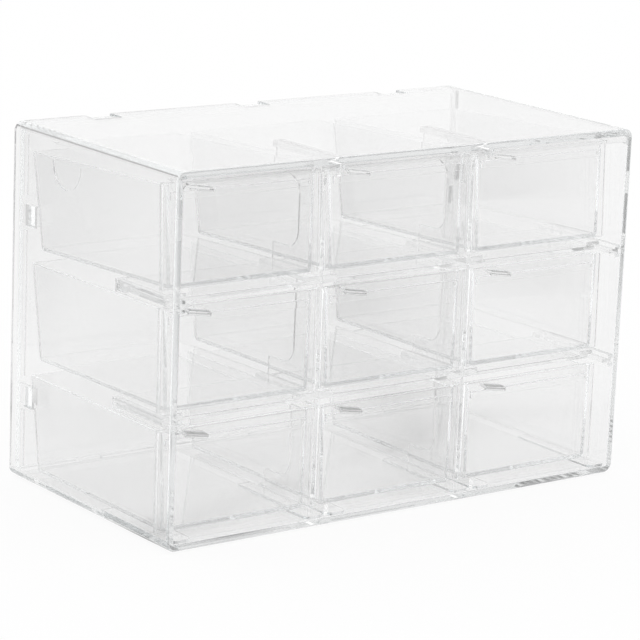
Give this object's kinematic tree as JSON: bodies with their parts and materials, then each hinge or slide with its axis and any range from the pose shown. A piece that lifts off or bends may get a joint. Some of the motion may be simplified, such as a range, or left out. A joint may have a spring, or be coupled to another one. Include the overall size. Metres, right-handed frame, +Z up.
{
  "type": "desktop drawer organiser",
  "caption": "Clear plastic desktop drawer cabinet: a rounded rectangular case, a slotted front grid and open-topped drawers that slide out by small pull tabs.",
  "frame": {"origin": "centre of the underside of the case", "axes": "+X to the right along the width, +Y to the back, +Z up; the drawers open towards -Y"},
  "size_m": [0.185, 0.097, 0.121],
  "materials": {
    "clear_sleeve": "polished, clear",
    "clear_panel": "polished, clear",
    "clear_grid": "polished, clear",
    "clear_drawer": "polished, clear"
  },
  "bodies": {
    "case": {"sleeve": "clear_sleeve", "back_panel": "clear_panel", "divider_1": "clear_grid", "divider_2": "clear_grid", "shelf_1": "clear_grid", "shelf_2": "clear_grid"},
    "drawer_row1_col1": {"drawer_row1_col1": "clear_drawer"},
    "drawer_row1_col2": {"drawer_row1_col2": "clear_drawer"},
    "drawer_row1_col3": {"drawer_row1_col3": "clear_drawer"},
    "drawer_row2_col1": {"drawer_row2_col1": "clear_drawer"},
    "drawer_row2_col2": {"drawer_row2_col2": "clear_drawer"},
    "drawer_row2_col3": {"drawer_row2_col3": "clear_drawer"},
    "drawer_row3_col1": {"drawer_row3_col1": "clear_drawer"},
    "drawer_row3_col2": {"drawer_row3_col2": "clear_drawer"},
    "drawer_row3_col3": {"drawer_row3_col3": "clear_drawer"}
  },
  "joints": [
    {"name": "slide_row1_col1", "type": "slide", "parent": "case", "child": "drawer_row1_col1", "axis": [0, -1, 0], "range_m": [0, 0.07]},
    {"name": "slide_row1_col2", "type": "slide", "parent": "case", "child": "drawer_row1_col2", "axis": [0, -1, 0], "range_m": [0, 0.07]},
    {"name": "slide_row1_col3", "type": "slide", "parent": "case", "child": "drawer_row1_col3", "axis": [0, -1, 0], "range_m": [0, 0.07]},
    {"name": "slide_row2_col1", "type": "slide", "parent": "case", "child": "drawer_row2_col1", "axis": [0, -0.9999, 0.014], "range_m": [0, 0.07]},
    {"name": "slide_row2_col2", "type": "slide", "parent": "case", "child": "drawer_row2_col2", "axis": [0, -0.9999, 0.014], "range_m": [0, 0.07]},
    {"name": "slide_row2_col3", "type": "slide", "parent": "case", "child": "drawer_row2_col3", "axis": [0, -0.9999, 0.014], "range_m": [0, 0.07]},
    {"name": "slide_row3_col1", "type": "slide", "parent": "case", "child": "drawer_row3_col1", "axis": [0, -0.9992, 0.0401], "range_m": [0, 0.07]},
    {"name": "slide_row3_col2", "type": "slide", "parent": "case", "child": "drawer_row3_col2", "axis": [0, -0.9992, 0.0401], "range_m": [0, 0.07]},
    {"name": "slide_row3_col3", "type": "slide", "parent": "case", "child": "drawer_row3_col3", "axis": [0, -0.9992, 0.0401], "range_m": [0, 0.07]}
  ]
}
